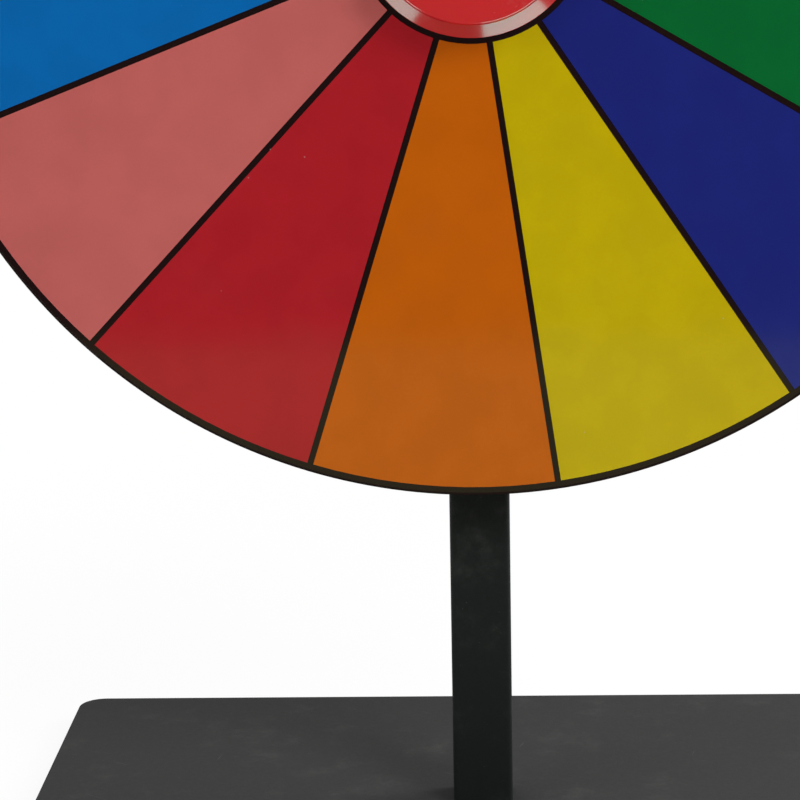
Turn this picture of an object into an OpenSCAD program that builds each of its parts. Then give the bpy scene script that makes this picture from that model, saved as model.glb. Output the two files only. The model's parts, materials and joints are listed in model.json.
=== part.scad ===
// Tabletop carnival wheel: a striped disc that spins on ball bearings in front of a square post,
// with pegs behind the disc that click a hanging flapper, and a red pointer over the rim.
// Millimetres. Origin under the middle of the base, +Z up, the coloured face looks along -Y.

/* [Wheel] */
// Diameter of the wheel over its edge band
wheel_d = 457; // [320:1:600]
// Thickness of the fibreboard disc
board_t = 10; // [6:0.5:18]
// Thickness of the black band round the disc's edge
edge_band_t = 1; // [0.5:0.1:2]
// Thickness of the black film on the disc's face
backing_film_t = 0.4; // [0.2:0.1:1]
// Thickness of the coloured film segments
colour_film_t = 0.3; // [0.2:0.1:1]
// How often the seven colours come round
colour_rounds = 2; // [1:1:3]
// Width of the black lines between segments
line_w = 2.5; // [1:0.1:5]
// Width of the black border inside the edge band
border_w = 2.4; // [1:0.1:6]
// Width of the black ring round the hub
hub_ring_w = 1.9; // [1:0.1:5]
// Angle from the top to the nearest line on the left, as the wheel stands
stop_angle = 8.2; // [5:0.1:24]

/* [Pegs and clicker] */
// Diameter of a peg
peg_d = 6; // [4:0.5:8]
// Distance of the peg circle from the wheel's edge
peg_inset = 20.5; // [14:0.5:30]
// How deep a peg sits in the disc
peg_depth = 7; // [4:0.5:8]
// Gap between the peg ends and the post
peg_clear = 3; // [2:0.5:5]
// Diameter of the flapper's pivot
pivot_d = 4; // [3:0.5:5]
// Height of the flapper's pivot above the wheel's edge
pivot_above = 8; // [7:0.5:12]
// Distance of the flapper to the left of the post's middle
clicker_offset = 6.4; // [6:0.1:7]
// Diameter of the flapper's boss
boss_d = 9; // [8:0.5:11]
// Diameter of the flapper's rounded tip
flapper_tip_d = 2.6; // [2:0.1:3.5]
// How far the flapper reaches past the middle of the pegs
flapper_bite = 1; // [0:0.5:3]
// Thickness of the washer between flapper and post
clicker_washer_t = 2.2; // [1.5:0.1:3]

/* [Hub] */
// Diameter of the red cap
cap_d = 77; // [74:1:100]
// Wall of the red cap
cap_wall = 2.4; // [1.5:0.1:3]
// How far the cap's face bulges out of its straight skirt
cap_rise = 5.4; // [3:0.1:9]
// Space between the axle's end and the cap
cap_headroom = 4; // [2:0.5:10]
// Width of the red flange that shows round the cap
flange_rim = 6.2; // [3:0.1:8]
// Thickness of the red flange
flange_t = 4; // [3:0.5:6]
// Thickness of the hub's rear flange
rear_flange_t = 4; // [3:0.5:6]
// Diameter of the hub's rear flange
rear_flange_d = 84; // [76:1:100]
// How far the hub's barrel stands out behind its flange
barrel_back = 5; // [4:0.5:8]
// How far the hub's barrel stands out of the red flange
barrel_proud = 2.5; // [1:0.5:4]
// Wall of the hub round its bearings
hub_wall = 4; // [3:0.5:6]
// Circle of the hub bolts
hub_bolt_circle = 56; // [52:1:60]
// Diameter of the hub bolts
hub_bolt_d = 5; // [4:0.5:6]

/* [Axle and bearings] */
// Diameter of the axle bolt
axle_d = 8; // [6:0.5:9]
// Outer diameter of a ball bearing
bearing_d = 22; // [20:0.5:26]
// Width of a ball bearing
bearing_w = 7; // [6:0.5:9]
// Diameter of a bearing ball
ball_d = 3.9; // [3:0.1:4.4]
// Balls in a bearing
ball_count = 7; // [5:1:7]
// Thickness of the washers at the post
axle_washer_t = 1.6; // [1:0.1:2.5]
// Thickness of the axle's nut at the post
jam_nut_t = 4; // [3:0.5:6]
// Thickness of the shim and washer that press on the inner races
shim_t = 1; // [0.6:0.1:2]
// Thickness of the lock nut at the axle's end
lock_nut_t = 8; // [6:0.5:10]

/* [Post] */
// Width of the square post
post_w = 25; // [22:0.5:30]
// Wall of the post
post_wall = 1.5; // [1:0.1:2]
// Outer corner radius of the post
post_corner_r = 2.5; // [2.2:0.1:4]
// Height of the post's end above the wheel's edge
post_above = 22; // [20:1:30]
// Height of the threaded blocks in the post's ends
block_h = 30; // [28:1:45]

/* [Pointer] */
// Width of the pointer at its top
pointer_w = 36; // [30:1:50]
// Thickness of the pointer
pointer_t = 3; // [2:0.5:5]
// How far the pointer reaches in over the wheel
pointer_reach = 26; // [15:1:40]
// Height of the pointer's straight sides
pointer_side_h = 15; // [14:0.5:24]
// Corner radius of the pointer
pointer_corner_r = 3; // [2:0.5:4]
// Gap between the pointer and the wheel's face
pointer_clear = 4.3; // [3:0.1:8]
// Thickness of the bent arm that holds the pointer
arm_t = 3; // [2:0.5:4]
// Gap between the arm and the wheel's edge
arm_clear = 6; // [4:0.5:8]
// Diameter of the pointer and arm screws
small_screw_d = 4; // [3:0.5:5]
// Distance between the pointer screws
pointer_screw_gap = 16; // [14:0.5:20]
// Distance between the arm screws
arm_screw_gap = 11; // [10:0.5:13]

/* [Base] */
// Width of the base plate
base_w = 385; // [300:1:480]
// Depth of the base plate, front to back
base_depth = 280; // [220:1:360]
// Thickness of the base plate
base_t = 5; // [4:0.5:8]
// Corner radius of the base plate
base_corner_r = 12; // [6:1:30]
// Gap between the base plate and the wheel's edge
wheel_gap = 141.5; // [60:0.5:220]
// Diameter of a rubber foot
foot_d = 24; // [16:1:36]
// Height of a rubber foot
foot_h = 4; // [3:0.5:8]
// Distance of a foot's middle from the plate's edges
foot_inset = 28; // [20:1:60]
// Diameter of the screws under the post
foot_screw_d = 5; // [4:0.5:5.5]
// Distance between the screws under the post
foot_screw_gap = 12; // [11:0.5:12.5]

/* [Hidden] */
$fn = 72;

// clearances
seat = 0.05;        // round a piece that sits in another, on each side
running = 0.06;     // between pieces that turn on each other
flange_gap = 0.4;   // between the red flange and the black ring
flapper_gap = 2;    // between the flapper and the disc
tail = 1;           // how far a screw stands out of its nut
cut = 1;            // how far a cutting tool runs past a face

// colours, in the order in which they follow each other round the wheel
colours = [[0.04, 0.37, 0.63], [0.70, 0.36, 0.35], [0.63, 0.12, 0.14], [0.69, 0.34, 0.03],
    [0.69, 0.61, 0.02], [0.11, 0.14, 0.44], [0.02, 0.37, 0.16]];
black_paint = [0.12, 0.13, 0.13];
base_paint = [0.25, 0.25, 0.25];
black_film = [0.07, 0.07, 0.07];
cap_red = [0.72, 0.13, 0.15];
zinc = [0.66, 0.67, 0.68];
steel = [0.74, 0.75, 0.77];
nylon = [0.88, 0.87, 0.83];
brass = [0.74, 0.58, 0.30];
fibreboard = [0.16, 0.15, 0.14];

// wheel outline
wheel_r = wheel_d / 2;
segment_count = len(colours) * colour_rounds;
segment_angle = 360 / segment_count;
first_line = 90 + stop_angle;
film_r = wheel_r - edge_band_t;
segment_out_r = film_r - border_w;

// places along the axle, measured forward from the middle of the post
post_face = post_w / 2;
hub_back = post_face + axle_washer_t + jam_nut_t + shim_t;
board_back = hub_back + barrel_back + rear_flange_t;
board_face = board_back + board_t;
film_face = board_face + backing_film_t;
wheel_face = film_face + colour_film_t;
flange_face = film_face + flange_t;
hub_front = flange_face + barrel_proud;
front_bearing_at = hub_front - bearing_w;
spacer_at = hub_back + bearing_w;
nut_at = hub_front + shim_t;
axle_tail = 2.5;
axle_end = nut_at + lock_nut_t + axle_tail;

// heights
base_top = foot_h + base_t;
axle_z = base_top + wheel_gap + wheel_r;
post_top = wheel_r + post_above;    // above the axle
post_foot = base_top - axle_z;      // below the axle
pivot_y = wheel_r + pivot_above;
peg_r = wheel_r - peg_inset;

// hub
cap_r = cap_d / 2;
spigot_r = cap_r - cap_wall - seat;
spigot_w = 2;
spigot_h = 3;
flange_r = cap_r + flange_rim;
flange_step = 0.4;              // flat part of the flange beside the cap
flange_land = 0.5;              // straight part of the flange's edge, under its bevel
ring_in_r = flange_r + flange_gap;
ring_out_r = ring_in_r + hub_ring_w;
cap_inner_h = axle_end - flange_face + cap_headroom;
cap_h = cap_inner_h + cap_wall;
barrel_r = bearing_d / 2 + hub_wall;

// bearings
ball_r = ball_d / 2;
pitch_r = (axle_d + bearing_d) / 4;
groove_r = ball_r + running;
shoulder = 0.36 * ball_d;       // from the ball circle to the lip of a race
inner_race_r = pitch_r - shoulder;
outer_race_r = pitch_r + shoulder;
bearing_mid = bearing_w / 2;
cage_rim = 0.35;                // from a ball to the side of its cage
cage_half_w = ball_r + cage_rim;
cage_half_t = 0.15 * ball_d;
shield_t = 0.4;
shield_in = 0.2;                // how deep a shield lies in its race
shield_gap = 0.3;               // between a shield and the inner race
shim_d = 2 * inner_race_r - flange_gap;

// standard hardware, each from its thread's diameter
function nut_corners(d) = 1.6 * d * 2 / sqrt(3);
function nut_h(d) = 0.8 * d;
function washer_d(d) = 2 * d;
function head_d(d) = 1.8 * d;
function head_h(d) = 0.55 * d;
function key_d(d) = 0.65 * d;
function bolt_head_h(d) = 0.65 * d;
hub_washer_t = 1;
hub_nut_back = board_back - rear_flange_t - hub_washer_t - nut_h(hub_bolt_d);
lock_ring_h = 0.25 * lock_nut_t;
lock_ring_d = 1.35 * axle_d;
lock_collar_d = 1.55 * axle_d;
sleeve_wall = 2;
foot_screw_head_d = 2 * foot_screw_d;
foot_screw_head_h = (foot_screw_head_d - foot_screw_d) / 2;
foot_screw_grip = 16;
foot_screw_l = base_t + foot_screw_grip;

// clicker
flapper_back = post_face + clicker_washer_t;
flapper_front = board_back - flapper_gap;
flapper_tip_y = peg_r - flapper_bite + flapper_tip_d / 2;
pivot_bore_d = pivot_d + 2 * seat;
block_w = post_w - 2 * post_wall - 2 * seat;
block_face = block_w / 2;
pivot_grip = 8;     // how deep the pivot screw sits in its block

// pointer
pointer_back = wheel_face + pointer_clear;
arm_end = pointer_back;
arm_tab_y = wheel_r + arm_clear;
pointer_drop = 1;   // from the arm's top to the pointer's
pointer_top = post_top + arm_t - pointer_drop;
pointer_tip = wheel_r - pointer_reach;
pointer_screw_y = pointer_top - pointer_side_h / 2;
arm_screw_l = 12;

// places children on the wheel's axle: x to the right, y up, z towards the face
module on_axle(at = 0) translate([0, 0, axle_z]) rotate([90, 0, 0]) translate([0, 0, at]) children();

// extrudes a side view, drawn with x forward and y up from the axle, to a width across the stand
module across(width) translate([0, 0, axle_z]) rotate([90, 0, -90])
    linear_extrude(width, center = true) children();

// repeats children round the axle
module round_axle(count, first = 0) for (i = [0 : count - 1]) rotate(first + i * 360 / count) children();

// convex outline round corner circles, which are listed counter-clockwise
module rounded_polygon(corners, r) {
    count = len(corners);
    sides = [for (i = [0 : count - 1]) corners[(i + 1) % count] - corners[i]];
    normals = [for (s = sides) [s.y, -s.x] / norm(s)];
    polygon([for (i = [0 : count - 1]) each
        [corners[i] + r * normals[i], corners[(i + 1) % count] + r * normals[i]]]);
    for (c = corners) translate(c) circle(r);
}

module rounded_rectangle(w, d, r) {
    x = w / 2 - r;
    y = d / 2 - r;
    rounded_polygon([[-x, -y], [x, -y], [x, y], [-x, y]], r);
}

// outline of a bar that tapers from a circle at the top to a smaller one straight below it
module tapered_bar(top, top_r, bottom, bottom_r) {
    lean = asin((top_r - bottom_r) / (top.y - bottom.y));
    side = [cos(lean), -sin(lean)];
    other = [-side.x, side.y];
    polygon([bottom + bottom_r * side, top + top_r * side, top + top_r * other, bottom + bottom_r * other]);
    translate(top) circle(top_r);
    translate(bottom) circle(bottom_r);
}

module tube(outer_d, inner_d, h) difference() {
    cylinder(h = h, d = outer_d);
    translate([0, 0, -cut]) cylinder(h = h + 2 * cut, d = inner_d);
}

module hex_nut(d, h) difference() {
    cylinder(h = h, d = nut_corners(d), $fn = 6);
    translate([0, 0, -cut]) cylinder(h = h + 2 * cut, d = d + 2 * seat);
}

// button head screw: shank from 0 down to -l, head above with a hex socket
module button_screw(d, l) {
    rim_h = head_h(d) / 3;
    difference() {
        union() {
            translate([0, 0, -l]) cylinder(h = l, d = d);
            cylinder(h = rim_h, d = head_d(d));
            translate([0, 0, rim_h]) cylinder(h = head_h(d) - rim_h, d1 = head_d(d), d2 = 0.6 * head_d(d));
        }
        translate([0, 0, head_h(d) / 2]) cylinder(h = head_h(d), d = key_d(d), $fn = 6);
    }
}

// base and post
module foot_places() for (x = [-1, 1], y = [-1, 1])
    translate([x * (base_w / 2 - foot_inset), y * (base_depth / 2 - foot_inset), 0]) children();

module foot_screw_places() for (x = [-1, 1]) translate([x * foot_screw_gap / 2, 0, foot_h]) children();

module base_plate() color(base_paint) difference() {
    translate([0, 0, foot_h]) linear_extrude(base_t) rounded_rectangle(base_w, base_depth, base_corner_r);
    foot_screw_places() {
        translate([0, 0, -cut]) cylinder(h = base_t + 2 * cut, d = foot_screw_d + 4 * seat);
        translate([0, 0, -cut]) cylinder(h = foot_screw_head_h + cut,
            d1 = foot_screw_head_d + 4 * seat + 2 * cut, d2 = foot_screw_d + 4 * seat);
    }
}

module rubber_feet() color(black_film) foot_places() {
    edge = foot_h / 4;
    cylinder(h = edge, d1 = foot_d - 2 * edge, d2 = foot_d);
    translate([0, 0, edge]) cylinder(h = foot_h - edge, d = foot_d);
}

module foot_screws() color(zinc) foot_screw_places() difference() {
    union() {
        cylinder(h = foot_screw_head_h, d1 = foot_screw_head_d, d2 = foot_screw_d);
        cylinder(h = foot_screw_l, d = foot_screw_d);
    }
    translate([0, 0, -cut]) cylinder(h = foot_screw_head_h / 2 + cut, d = key_d(foot_screw_d), $fn = 6);
}

module post() color(black_paint) difference() {
    translate([0, 0, base_top]) linear_extrude(post_top - post_foot) difference() {
        rounded_rectangle(post_w, post_w, post_corner_r);
        rounded_rectangle(post_w - 2 * post_wall, post_w - 2 * post_wall, post_corner_r - post_wall);
    }
    on_axle(-post_w) cylinder(h = 2 * post_w, d = axle_d + 4 * seat);
    on_axle() translate([-clicker_offset, pivot_y, 0]) cylinder(h = post_w, d = pivot_d + 4 * seat);
}

// block with corners that clear the inside corners of the post
module post_block() linear_extrude(block_h) rounded_rectangle(block_w, block_w, post_corner_r);

module post_foot_block() color(zinc) difference() {
    translate([0, 0, base_top]) post_block();
    foot_screw_places() cylinder(h = foot_screw_l + cut, d = foot_screw_d + 2 * seat);
}

module post_top_block() color(zinc) difference() {
    translate([0, 0, axle_z + post_top - block_h]) post_block();
    on_axle() arm_screw_places() translate([0, 0, -arm_screw_l - cut])
        cylinder(h = arm_screw_l + 2 * cut, d = small_screw_d + 2 * seat);
    on_axle(block_face - pivot_grip - cut) translate([-clicker_offset, pivot_y, 0])
        cylinder(h = pivot_grip + 2 * cut, d = pivot_d + 2 * seat);
}

// pointer
module arm_screw_places() for (x = [-1, 1]) translate([x * arm_screw_gap / 2, post_top + arm_t, 0])
    rotate([-90, 0, 0]) children();

module pointer_screw_places() for (x = [-1, 1])
    translate([x * pointer_screw_gap / 2, pointer_screw_y, 0]) children();

module pointer_arm() color(black_paint) difference() {
    across(post_w) {
        translate([-post_face, post_top]) square([arm_end + post_face - arm_t, arm_t]);
        translate([arm_end - arm_t, arm_tab_y]) square([arm_t, post_top - arm_tab_y]);
        translate([arm_end - arm_t, post_top]) intersection() {
            circle(arm_t);
            square(arm_t);
        }
    }
    on_axle() arm_screw_places() translate([0, 0, -arm_t - cut])
        cylinder(h = arm_t + 2 * cut, d = small_screw_d + 4 * seat);
    on_axle(arm_end - arm_t - cut) pointer_screw_places()
        cylinder(h = arm_t + 2 * cut, d = small_screw_d + 4 * seat);
}

module pointer_arm_screws() color(zinc) on_axle() arm_screw_places()
    button_screw(small_screw_d, arm_screw_l);

module pointer() color(cap_red) on_axle(pointer_back) linear_extrude(pointer_t) difference() {
    side = pointer_w / 2 - pointer_corner_r;
    top = pointer_top - pointer_corner_r;
    rounded_polygon([[0, pointer_tip + pointer_corner_r], [side, pointer_top - pointer_side_h],
        [side, top], [-side, top], [-side, pointer_top - pointer_side_h]], pointer_corner_r);
    pointer_screw_places() circle(d = small_screw_d + 4 * seat);
}

module pointer_screws() color(zinc) on_axle(pointer_back + pointer_t) pointer_screw_places()
    button_screw(small_screw_d, pointer_t + arm_t + nut_h(small_screw_d) + tail);

module pointer_nuts() color(zinc) on_axle(arm_end - arm_t - nut_h(small_screw_d)) pointer_screw_places()
    hex_nut(small_screw_d, nut_h(small_screw_d));

// axle
module axle_bolt() color(zinc) on_axle(-post_face - axle_washer_t) {
    cylinder(h = axle_end + post_face + axle_washer_t, d = axle_d);
    translate([0, 0, -bolt_head_h(axle_d)])
        cylinder(h = bolt_head_h(axle_d), d = nut_corners(axle_d), $fn = 6);
}

module axle_sleeve() color(zinc) on_axle(-block_face)
    tube(axle_d + 4 * seat + 2 * sleeve_wall, axle_d + 4 * seat, block_w);

module axle_washers() color(zinc) for (at = [-post_face - axle_washer_t, post_face])
    on_axle(at) tube(washer_d(axle_d), axle_d + 4 * seat, axle_washer_t);

module axle_jam_nut() color(zinc) on_axle(post_face + axle_washer_t) hex_nut(axle_d, jam_nut_t);

module axle_shim() color(steel) on_axle(hub_back - shim_t) tube(shim_d, axle_d + 2 * seat, shim_t);

module bearing_spacer() color(steel) on_axle(spacer_at)
    tube(shim_d, axle_d + 2 * seat, front_bearing_at - spacer_at);

module axle_end_washer() color(steel) on_axle(hub_front) tube(shim_d, axle_d + 2 * seat, shim_t);

// the lock nut holds a nylon ring in its round end
module axle_lock_nut() color(zinc) on_axle(nut_at) {
    hex_nut(axle_d, lock_nut_t - lock_ring_h);
    translate([0, 0, lock_nut_t - lock_ring_h]) tube(lock_collar_d, lock_ring_d, lock_ring_h);
}

module lock_nut_ring() color(nylon) on_axle(nut_at + lock_nut_t - lock_ring_h)
    tube(lock_ring_d - 2 * seat, axle_d + 2 * seat, lock_ring_h);

// bearings, drawn from their rear face at 0 to bearing_w
module inner_race() color(steel) rotate_extrude() difference() {
    translate([axle_d / 2 + seat, 0]) square([inner_race_r - axle_d / 2 - seat, bearing_w]);
    translate([pitch_r, bearing_mid]) circle(groove_r);
}

module outer_race() color(steel) rotate_extrude() difference() {
    translate([outer_race_r, 0]) square([bearing_d / 2 - outer_race_r, bearing_w]);
    translate([pitch_r, bearing_mid]) circle(groove_r);
}

module cage() color(brass) difference() {
    rotate_extrude() translate([pitch_r - cage_half_t, bearing_mid - cage_half_w])
        square([2 * cage_half_t, 2 * cage_half_w]);
    translate([0, 0, bearing_mid]) round_axle(ball_count) rotate([0, 90, 0])
        cylinder(h = bearing_d, d = ball_d + 2 * running);
}

module balls() color(steel) translate([0, 0, bearing_mid]) round_axle(ball_count)
    translate([pitch_r, 0, 0]) sphere(ball_r);

module shields() color(steel) for (z = [shield_in, bearing_w - shield_in - shield_t]) translate([0, 0, z])
    tube(2 * (outer_race_r - seat), 2 * (inner_race_r + shield_gap), shield_t);

module rear_bearing_inner_race() on_axle(hub_back) inner_race();
module front_bearing_inner_race() on_axle(front_bearing_at) inner_race();
module rear_bearing_outer_race() on_axle(hub_back) outer_race();
module front_bearing_outer_race() on_axle(front_bearing_at) outer_race();
module rear_bearing_cage() on_axle(hub_back) cage();
module front_bearing_cage() on_axle(front_bearing_at) cage();
module rear_bearing_balls() on_axle(hub_back) balls();
module front_bearing_balls() on_axle(front_bearing_at) balls();
module bearing_shields() for (at = [hub_back, front_bearing_at]) on_axle(at) shields();

// clicker
module clicker_pivot_screw() color(zinc) on_axle(flapper_front + running)
    translate([-clicker_offset, pivot_y, 0])
        button_screw(pivot_d, flapper_front + running - block_face + pivot_grip);

module clicker_washer() color(nylon) on_axle(post_face) translate([-clicker_offset, pivot_y, 0])
    tube(boss_d, pivot_d + 2 * seat, clicker_washer_t - running);

module clicker_flapper() color(nylon) on_axle(flapper_back) translate([-clicker_offset, 0, 0])
    linear_extrude(flapper_front - flapper_back) difference() {
        union() {
            translate([0, pivot_y]) circle(d = boss_d);
            tapered_bar([0, pivot_y], boss_d / 3, [0, flapper_tip_y], flapper_tip_d / 2);
        }
        translate([0, pivot_y]) circle(d = pivot_bore_d);
    }

// wheel
module hub_bolt_places() round_axle(4, 45) translate([hub_bolt_circle / 2, 0, 0]) children();

module peg_places() round_axle(segment_count, first_line) translate([peg_r, 0, 0]) children();

module wheel_board() color(fibreboard) on_axle(board_back) difference() {
    linear_extrude(board_t) difference() {
        circle(film_r);
        circle(barrel_r + seat);
        hub_bolt_places() circle(d = hub_bolt_d + 4 * seat);
    }
    peg_places() translate([0, 0, -cut]) cylinder(h = peg_depth + cut, d = peg_d + 2 * seat);
}

module edge_band() color(black_film) on_axle(board_back)
    tube(wheel_d, 2 * film_r, board_t + backing_film_t);

module backing_film() color(black_film) on_axle(board_face) linear_extrude(backing_film_t) difference() {
    circle(film_r);
    circle(barrel_r + seat);
    hub_bolt_places() circle(d = hub_bolt_d + 4 * seat);
}

// outline of one segment about the x axis, its sides half a line's width from the radial lines
module segment_outline() intersection() {
    difference() {
        circle(segment_out_r);
        circle(ring_out_r);
    }
    half = segment_angle / 2;
    apex = line_w / 2 / sin(half);
    reach = wheel_d;
    polygon([[apex, 0], [apex + reach * cos(half), -reach * sin(half)],
        [apex + reach, -reach * sin(half)], [apex + reach, reach * sin(half)],
        [apex + reach * cos(half), reach * sin(half)]]);
}

// the segments of one colour; the colours follow each other counter-clockwise from the right
module segments(colour) {
    first = first_line - segment_angle * (ceil(90 / segment_angle) - 0.5);
    color(colours[colour]) on_axle(film_face) linear_extrude(colour_film_t)
        round_axle(colour_rounds, first + colour * segment_angle) segment_outline();
}

module blue_segments() segments(0);
module pink_segments() segments(1);
module red_segments() segments(2);
module orange_segments() segments(3);
module yellow_segments() segments(4);
module navy_segments() segments(5);
module green_segments() segments(6);

// pegs with a chamfered outer end
module pegs() color(steel) on_axle() peg_places() {
    peg_end = post_face + peg_clear;
    edge = peg_d / 8;
    translate([0, 0, peg_end]) cylinder(h = edge, d1 = peg_d - 2 * edge, d2 = peg_d);
    translate([0, 0, peg_end + edge]) cylinder(h = board_back + peg_depth - peg_end - edge, d = peg_d);
}

// hub: barrel with a rear flange, red front flange with a bevelled edge, and the red cap
module hub_barrel() color(black_film) on_axle() difference() {
    union() {
        translate([0, 0, hub_back]) cylinder(h = hub_front - hub_back, r = barrel_r);
        translate([0, 0, board_back - rear_flange_t]) cylinder(h = rear_flange_t, d = rear_flange_d);
    }
    translate([0, 0, hub_back - cut]) cylinder(h = hub_front - hub_back + 2 * cut, r = outer_race_r);
    translate([0, 0, hub_back - cut]) cylinder(h = bearing_w + cut, d = bearing_d + 2 * seat);
    translate([0, 0, front_bearing_at]) cylinder(h = bearing_w + cut, d = bearing_d + 2 * seat);
    translate([0, 0, board_back - rear_flange_t - cut]) hub_bolt_places()
        cylinder(h = rear_flange_t + 2 * cut, d = hub_bolt_d + 4 * seat);
}

module hub_flange() color(cap_red) on_axle(film_face) difference() {
    union() {
        rotate_extrude() polygon([[0, 0], [flange_r, 0], [flange_r, flange_land],
            [cap_r + flange_step, flange_t], [0, flange_t]]);
        cylinder(h = flange_t + spigot_h, r = spigot_r);
    }
    translate([0, 0, flange_t]) cylinder(h = spigot_h + cut, r = spigot_r - spigot_w);
    translate([0, 0, -cut]) cylinder(h = flange_t + 2 * cut, r = barrel_r + seat);
    translate([0, 0, -cut]) hub_bolt_places() cylinder(h = flange_t + 2 * cut, d = hub_bolt_d + 4 * seat);
}

// dome over a straight skirt: a cylinder cut off by the ball that meets its side at the skirt's edge
module dome(r, h) {
    ball = (r * r + cap_rise * cap_rise) / (2 * cap_rise);
    intersection() {
        cylinder(h = h + cut, r = r);
        translate([0, 0, h - ball]) sphere(ball);
    }
}

module hub_cap() color(cap_red) on_axle(flange_face) difference() {
    dome(cap_r, cap_h);
    dome(cap_r - cap_wall, cap_inner_h);
    translate([0, 0, -cut]) cylinder(h = 2 * cut, r = cap_r - cap_wall);
}

module hub_bolts() color(zinc) on_axle(flange_face) hub_bolt_places()
    button_screw(hub_bolt_d, flange_face - hub_nut_back + tail);

module hub_washers() color(zinc) on_axle(board_back - rear_flange_t - hub_washer_t) hub_bolt_places()
    tube(washer_d(hub_bolt_d), hub_bolt_d + 4 * seat, hub_washer_t);

module hub_nuts() color(zinc) on_axle(hub_nut_back) hub_bolt_places() hex_nut(hub_bolt_d, nut_h(hub_bolt_d));

base_plate();
rubber_feet();
foot_screws();
post();
post_foot_block();
post_top_block();
pointer_arm();
pointer_arm_screws();
pointer();
pointer_screws();
pointer_nuts();
axle_bolt();
axle_sleeve();
axle_washers();
axle_jam_nut();
axle_shim();
bearing_spacer();
axle_end_washer();
axle_lock_nut();
lock_nut_ring();
rear_bearing_inner_race();
front_bearing_inner_race();
clicker_pivot_screw();
clicker_washer();
clicker_flapper();
wheel_board();
edge_band();
backing_film();
blue_segments();
pink_segments();
red_segments();
orange_segments();
yellow_segments();
navy_segments();
green_segments();
pegs();
hub_barrel();
hub_flange();
hub_cap();
hub_bolts();
hub_washers();
hub_nuts();
rear_bearing_outer_race();
front_bearing_outer_race();
bearing_shields();
rear_bearing_cage();
rear_bearing_balls();
front_bearing_cage();
front_bearing_balls();
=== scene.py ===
# tabletop carnival wheel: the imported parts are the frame, and the pieces that show are made over them
# sizes are in millimetres and become metres in the meshes
import json
from math import asin, atan2, cos, pi, radians, sin, sqrt, tan

import bmesh
import bpy
from mathutils import Matrix, Vector


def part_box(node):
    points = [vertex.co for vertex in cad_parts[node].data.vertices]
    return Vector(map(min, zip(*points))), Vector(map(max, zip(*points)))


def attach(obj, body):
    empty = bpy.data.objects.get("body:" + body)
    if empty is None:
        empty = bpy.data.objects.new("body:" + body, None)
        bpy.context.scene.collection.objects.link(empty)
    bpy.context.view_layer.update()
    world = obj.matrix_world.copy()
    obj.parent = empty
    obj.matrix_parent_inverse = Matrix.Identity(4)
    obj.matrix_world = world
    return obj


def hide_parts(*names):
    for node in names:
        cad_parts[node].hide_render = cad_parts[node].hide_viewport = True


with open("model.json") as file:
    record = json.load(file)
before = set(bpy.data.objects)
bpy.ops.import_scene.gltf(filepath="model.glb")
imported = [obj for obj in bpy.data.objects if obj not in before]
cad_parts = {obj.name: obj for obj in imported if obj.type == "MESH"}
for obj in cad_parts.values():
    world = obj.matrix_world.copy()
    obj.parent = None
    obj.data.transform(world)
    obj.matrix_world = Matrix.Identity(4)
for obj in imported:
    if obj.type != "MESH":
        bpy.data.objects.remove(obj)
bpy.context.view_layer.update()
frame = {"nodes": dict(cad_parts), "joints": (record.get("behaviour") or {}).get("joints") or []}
mm = 0.001
past = 1  # how far a cutting tool runs past a face
joints = {joint["name"]: joint for joint in frame["joints"]}
axleHeight = joints["wheel_spin"]["pos_m"][2] / mm
pivotSide = joints["clicker_swing"]["pos_m"][0] / mm
pivotHeight = joints["clicker_swing"]["pos_m"][2] / mm
print("frame:", len(frame["nodes"]), "parts, axle at", axleHeight, "mm")

# where a flat drawing goes: as drawn, on the axle (x right, y up, z to the face),
# or as seen from the side (x forward, y up)
upright = Matrix()
onAxle = Matrix.Translation((0, 0, axleHeight)) @ Matrix.Rotation(pi / 2, 4, "X")
fromSide = Matrix(((0, 0, -1, 0), (-1, 0, 0, 0), (0, 1, 0, 0), (0, 0, 0, 1)))


def onFace(x, height):  # on the axle's drawing, moved to a place beside it at a height over the floor
    return onAxle @ Matrix.Translation((x, height - axleHeight, 0))


def span(node):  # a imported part's lowest and highest corner
    low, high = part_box(node)
    return low / mm, high / mm


def depths(node):  # where a part starts and ends, counted forward from the middle of the post
    low, high = span(node)
    return -high.y, -low.y


# outlines and meshes

def rounded(corners, steps):  # (x, y, radius) corners to an outline with its corners turned
    outline = []
    for i, (x, y, radius) in enumerate(corners):
        here = Vector((x, y))
        if not radius:
            outline.append(here)
            continue
        back = (Vector(corners[i - 1][:2]) - here).normalized()
        ahead = (Vector(corners[(i + 1) % len(corners)][:2]) - here).normalized()
        half = back.angle(ahead) / 2
        middle = here + (back + ahead).normalized() * radius / sin(half)
        first = here + back * radius / tan(half) - middle
        last = here + ahead * radius / tan(half) - middle
        sweep = atan2(first.x * last.y - first.y * last.x, first.dot(last))
        for step in range(steps + 1):
            outline.append(middle + Matrix.Rotation(sweep * step / steps, 2) @ first)
    return outline


def wrapped(circles, steps=10):  # outline round circles (x, y, radius), which are listed counter-clockwise
    leans = []
    for (x, y, r), (nextX, nextY, nextR) in zip(circles, circles[1:] + circles[:1]):
        along = Vector((nextX - x, nextY - y))
        leans.append(atan2(along.y, along.x) - pi / 2 + asin((r - nextR) / along.length))
    outline = []
    for i, (x, y, r) in enumerate(circles):
        sweep = (leans[i] - leans[i - 1]) % (2 * pi)
        for step in range(steps + 1):
            angle = leans[i - 1] + sweep * step / steps
            outline.append(Vector((x + r * cos(angle), y + r * sin(angle))))
    return outline


def rectangle(halfWidth, halfDepth, corner, steps):  # outline with turned corners
    x = halfWidth - corner
    y = halfDepth - corner
    return wrapped([(-x, -y, corner), (x, -y, corner), (x, y, corner), (-x, y, corner)], steps)


def polygon(radius, sides):
    angles = [2 * pi * i / sides for i in range(sides)]
    return [Vector((radius * cos(angle), radius * sin(angle))) for angle in angles]


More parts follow.
